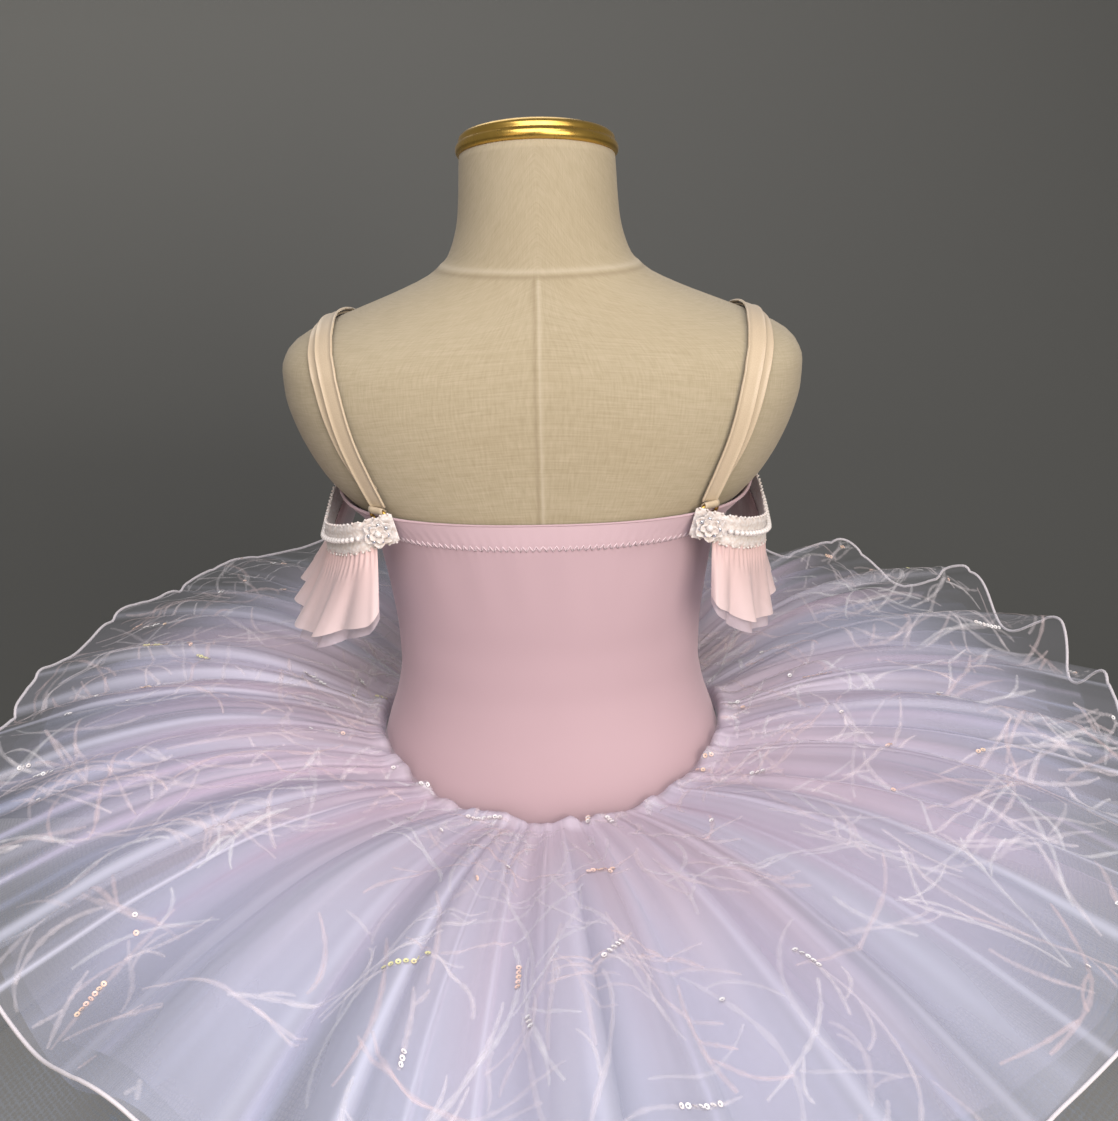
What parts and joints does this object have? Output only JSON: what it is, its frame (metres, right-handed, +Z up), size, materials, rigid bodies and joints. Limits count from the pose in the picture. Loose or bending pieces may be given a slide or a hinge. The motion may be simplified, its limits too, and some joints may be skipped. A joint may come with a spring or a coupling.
{
  "type": "ballet tutu dress on a limbless dress form",
  "caption": "Child's ballet tutu dress with stretch bodice, straps, off-shoulder ruffles and layered embroidered tulle skirt, on a linen dress form with a round stand.",
  "frame": {"origin": "middle of the stand base's underside, on the floor", "axes": "+Z up, the dress front faces -Y, the wearer's left is +X"},
  "size_m": [0.7577, 0.8043, 1.0108],
  "materials": {
    "linen": "plain woven linen, unbleached",
    "gilt": "polished gilt metal",
    "painted_steel": "satin cream enamel",
    "pink_knit": "dusty pink matt satin stretch knit",
    "embroidered_tulle": "fine tulle with corded embroidery and small sequins",
    "pink_tulle": "fine soft tulle",
    "lilac_tulle": "fine soft tulle",
    "grey_net": "coarse stiff net",
    "nude_elastic": "satin faced elastic",
    "ivory_lace": "scalloped lace with pearls",
    "peach_chiffon": "double chiffon"
  },
  "bodies": {
    "root": {"form_torso": "linen", "form_neck_cap": "gilt", "stand_pole": "painted_steel", "stand_base": "painted_steel", "bodice_back": "pink_knit", "bodice_front": "pink_knit", "overskirt": "embroidered_tulle", "tulle_pink": "pink_tulle", "tulle_lilac": "lilac_tulle", "net_underskirt": "grey_net", "strap_left": "nude_elastic", "strap_return_left": "nude_elastic", "slider_left": "gilt", "ring_left": "gilt", "sleeve_band_left": "ivory_lace", "rosette_left": "ivory_lace", "sleeve_ruffle_left": "peach_chiffon", "strap_right": "nude_elastic", "strap_return_right": "nude_elastic", "slider_right": "gilt", "ring_right": "gilt", "sleeve_band_right": "ivory_lace", "rosette_right": "ivory_lace", "sleeve_ruffle_right": "peach_chiffon"}
  },
  "joints": []
}
